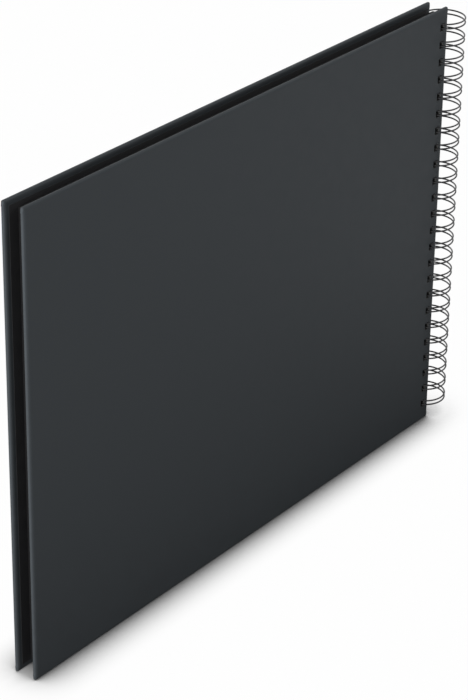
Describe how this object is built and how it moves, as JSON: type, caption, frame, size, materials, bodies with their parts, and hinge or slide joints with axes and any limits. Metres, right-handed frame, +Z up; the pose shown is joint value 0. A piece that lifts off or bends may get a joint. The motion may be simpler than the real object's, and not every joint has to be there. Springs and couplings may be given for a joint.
{
  "type": "spiral photo album",
  "caption": "Large landscape photo album: two paper-wrapped board covers and black card leaves that turn on a double-loop binding wire along the spine; stands on its lower edges.",
  "frame": {"origin": "under the middle of the album's bounding box, on the surface that its covers stand on", "axes": "+X along the covers' width towards the spine, +Y through the thickness from the front cover to the back cover, +Z up"},
  "size_m": [0.4534, 0.0318, 0.318],
  "materials": {
    "greyboard": "dark grey recycled board",
    "cover_paper": "satin charcoal covering paper with a fine grain",
    "lining_paper": "matt black lining paper",
    "leaf_card": "matt black album card",
    "binding_wire": "dark coated steel wire, satin"
  },
  "bodies": {
    "back_cover": {"back_board": "greyboard", "back_wrap": "cover_paper", "back_lining": "lining_paper", "twin_loop_wire": "binding_wire"},
    "leaf_20": {"leaf_20": "leaf_card"},
    "leaf_19": {"leaf_19": "leaf_card"},
    "leaf_18": {"leaf_18": "leaf_card"},
    "leaf_17": {"leaf_17": "leaf_card"},
    "leaf_16": {"leaf_16": "leaf_card"},
    "leaf_15": {"leaf_15": "leaf_card"},
    "leaf_14": {"leaf_14": "leaf_card"},
    "leaf_13": {"leaf_13": "leaf_card"},
    "leaf_12": {"leaf_12": "leaf_card"},
    "leaf_11": {"leaf_11": "leaf_card"},
    "leaf_10": {"leaf_10": "leaf_card"},
    "leaf_09": {"leaf_09": "leaf_card"},
    "leaf_08": {"leaf_08": "leaf_card"},
    "leaf_07": {"leaf_07": "leaf_card"},
    "leaf_06": {"leaf_06": "leaf_card"},
    "leaf_05": {"leaf_05": "leaf_card"},
    "leaf_04": {"leaf_04": "leaf_card"},
    "leaf_03": {"leaf_03": "leaf_card"},
    "leaf_02": {"leaf_02": "leaf_card"},
    "leaf_01": {"leaf_01": "leaf_card"},
    "front_cover": {"front_board": "greyboard", "front_wrap": "cover_paper", "front_lining": "lining_paper"}
  },
  "joints": [
    {"name": "leaf_20_turn", "type": "hinge", "parent": "back_cover", "child": "leaf_20", "pos_m": [0.21076, 0, 0], "axis": [0, 0, 1], "range_deg": [0, 180]},
    {"name": "leaf_19_turn", "type": "hinge", "parent": "leaf_20", "child": "leaf_19", "pos_m": [0.21076, 0, 0], "axis": [0, 0, 1], "range_deg": [0, 180]},
    {"name": "leaf_18_turn", "type": "hinge", "parent": "leaf_19", "child": "leaf_18", "pos_m": [0.21076, 0, 0], "axis": [0, 0, 1], "range_deg": [0, 180]},
    {"name": "leaf_17_turn", "type": "hinge", "parent": "leaf_18", "child": "leaf_17", "pos_m": [0.21076, 0, 0], "axis": [0, 0, 1], "range_deg": [0, 180]},
    {"name": "leaf_16_turn", "type": "hinge", "parent": "leaf_17", "child": "leaf_16", "pos_m": [0.21076, 0, 0], "axis": [0, 0, 1], "range_deg": [0, 180]},
    {"name": "leaf_15_turn", "type": "hinge", "parent": "leaf_16", "child": "leaf_15", "pos_m": [0.21076, 0, 0], "axis": [0, 0, 1], "range_deg": [0, 180]},
    {"name": "leaf_14_turn", "type": "hinge", "parent": "leaf_15", "child": "leaf_14", "pos_m": [0.21076, 0, 0], "axis": [0, 0, 1], "range_deg": [0, 180]},
    {"name": "leaf_13_turn", "type": "hinge", "parent": "leaf_14", "child": "leaf_13", "pos_m": [0.21076, 0, 0], "axis": [0, 0, 1], "range_deg": [0, 180]},
    {"name": "leaf_12_turn", "type": "hinge", "parent": "leaf_13", "child": "leaf_12", "pos_m": [0.21076, 0, 0], "axis": [0, 0, 1], "range_deg": [0, 180]},
    {"name": "leaf_11_turn", "type": "hinge", "parent": "leaf_12", "child": "leaf_11", "pos_m": [0.21076, 0, 0], "axis": [0, 0, 1], "range_deg": [0, 180]},
    {"name": "leaf_10_turn", "type": "hinge", "parent": "leaf_11", "child": "leaf_10", "pos_m": [0.21076, 0, 0], "axis": [0, 0, 1], "range_deg": [0, 180]},
    {"name": "leaf_09_turn", "type": "hinge", "parent": "leaf_10", "child": "leaf_09", "pos_m": [0.21076, 0, 0], "axis": [0, 0, 1], "range_deg": [0, 180]},
    {"name": "leaf_08_turn", "type": "hinge", "parent": "leaf_09", "child": "leaf_08", "pos_m": [0.21076, 0, 0], "axis": [0, 0, 1], "range_deg": [0, 180]},
    {"name": "leaf_07_turn", "type": "hinge", "parent": "leaf_08", "child": "leaf_07", "pos_m": [0.21076, 0, 0], "axis": [0, 0, 1], "range_deg": [0, 180]},
    {"name": "leaf_06_turn", "type": "hinge", "parent": "leaf_07", "child": "leaf_06", "pos_m": [0.21076, 0, 0], "axis": [0, 0, 1], "range_deg": [0, 180]},
    {"name": "leaf_05_turn", "type": "hinge", "parent": "leaf_06", "child": "leaf_05", "pos_m": [0.21076, 0, 0], "axis": [0, 0, 1], "range_deg": [0, 180]},
    {"name": "leaf_04_turn", "type": "hinge", "parent": "leaf_05", "child": "leaf_04", "pos_m": [0.21076, 0, 0], "axis": [0, 0, 1], "range_deg": [0, 180]},
    {"name": "leaf_03_turn", "type": "hinge", "parent": "leaf_04", "child": "leaf_03", "pos_m": [0.21076, 0, 0], "axis": [0, 0, 1], "range_deg": [0, 180]},
    {"name": "leaf_02_turn", "type": "hinge", "parent": "leaf_03", "child": "leaf_02", "pos_m": [0.21076, 0, 0], "axis": [0, 0, 1], "range_deg": [0, 180]},
    {"name": "leaf_01_turn", "type": "hinge", "parent": "leaf_02", "child": "leaf_01", "pos_m": [0.21076, 0, 0], "axis": [0, 0, 1], "range_deg": [0, 180]},
    {"name": "front_cover_turn", "type": "hinge", "parent": "leaf_01", "child": "front_cover", "pos_m": [0.21076, 0, 0], "axis": [0, 0, 1], "range_deg": [0, 180]}
  ]
}
